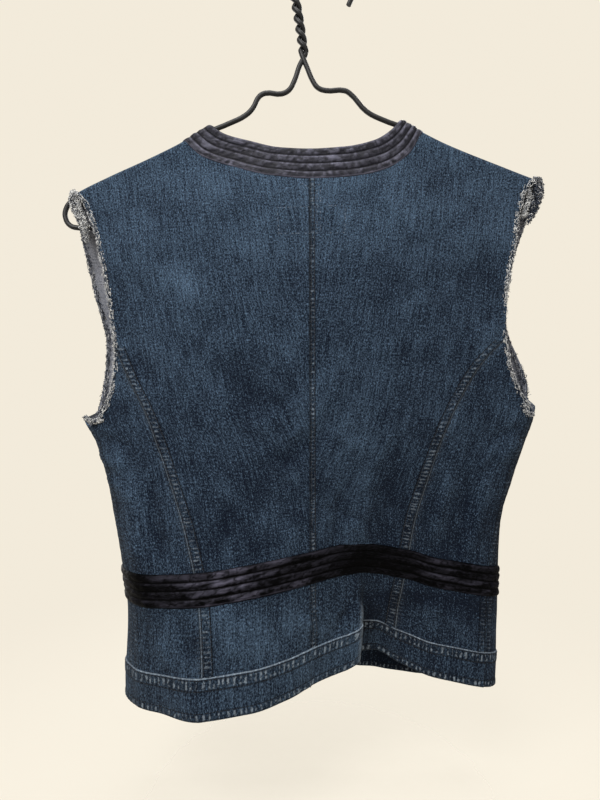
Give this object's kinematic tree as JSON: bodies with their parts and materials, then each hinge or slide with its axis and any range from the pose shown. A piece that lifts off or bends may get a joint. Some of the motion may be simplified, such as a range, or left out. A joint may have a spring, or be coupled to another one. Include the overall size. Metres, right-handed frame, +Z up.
{
  "type": "denim vest on a wire hanger",
  "caption": "Cropped sleeveless denim vest with princess seams, satin neck and waist bands and frayed armholes, hung on a twisted black wire hanger.",
  "frame": {"origin": "the seat of the hanger's hook, the inner top of its bend, where a rail carries it", "axes": "+Z up, +X the wearer's right, +Y the wearer's front; the vest's back, which the picture shows, faces -Y"},
  "size_m": [0.419, 0.1053, 0.6414],
  "materials": {
    "denim": "washed slubby indigo denim, matte",
    "neck_satin": "dark navy satin with a soft sheen",
    "waist_satin": "black satin with a soft sheen",
    "frayed_cotton": "loose undyed cotton threads",
    "button_metal": "dull antiqued metal",
    "black_coating": "black vinyl coating, semi-gloss"
  },
  "bodies": {
    "root": {"back_centre_left": "denim", "back_centre_right": "denim", "back_side_left": "denim", "back_side_right": "denim", "front_left": "denim", "front_right": "denim", "hem_band_back": "denim", "hem_band_front_left": "denim", "hem_band_front_right": "denim", "neck_band_back": "neck_satin", "neck_band_front_left": "neck_satin", "neck_band_front_right": "neck_satin", "waist_band": "waist_satin", "fringe_left": "frayed_cotton", "fringe_right": "frayed_cotton", "button_1": "button_metal", "button_2": "button_metal", "button_3": "button_metal", "button_4": "button_metal", "button_5": "button_metal", "hanger": "black_coating"}
  },
  "joints": []
}
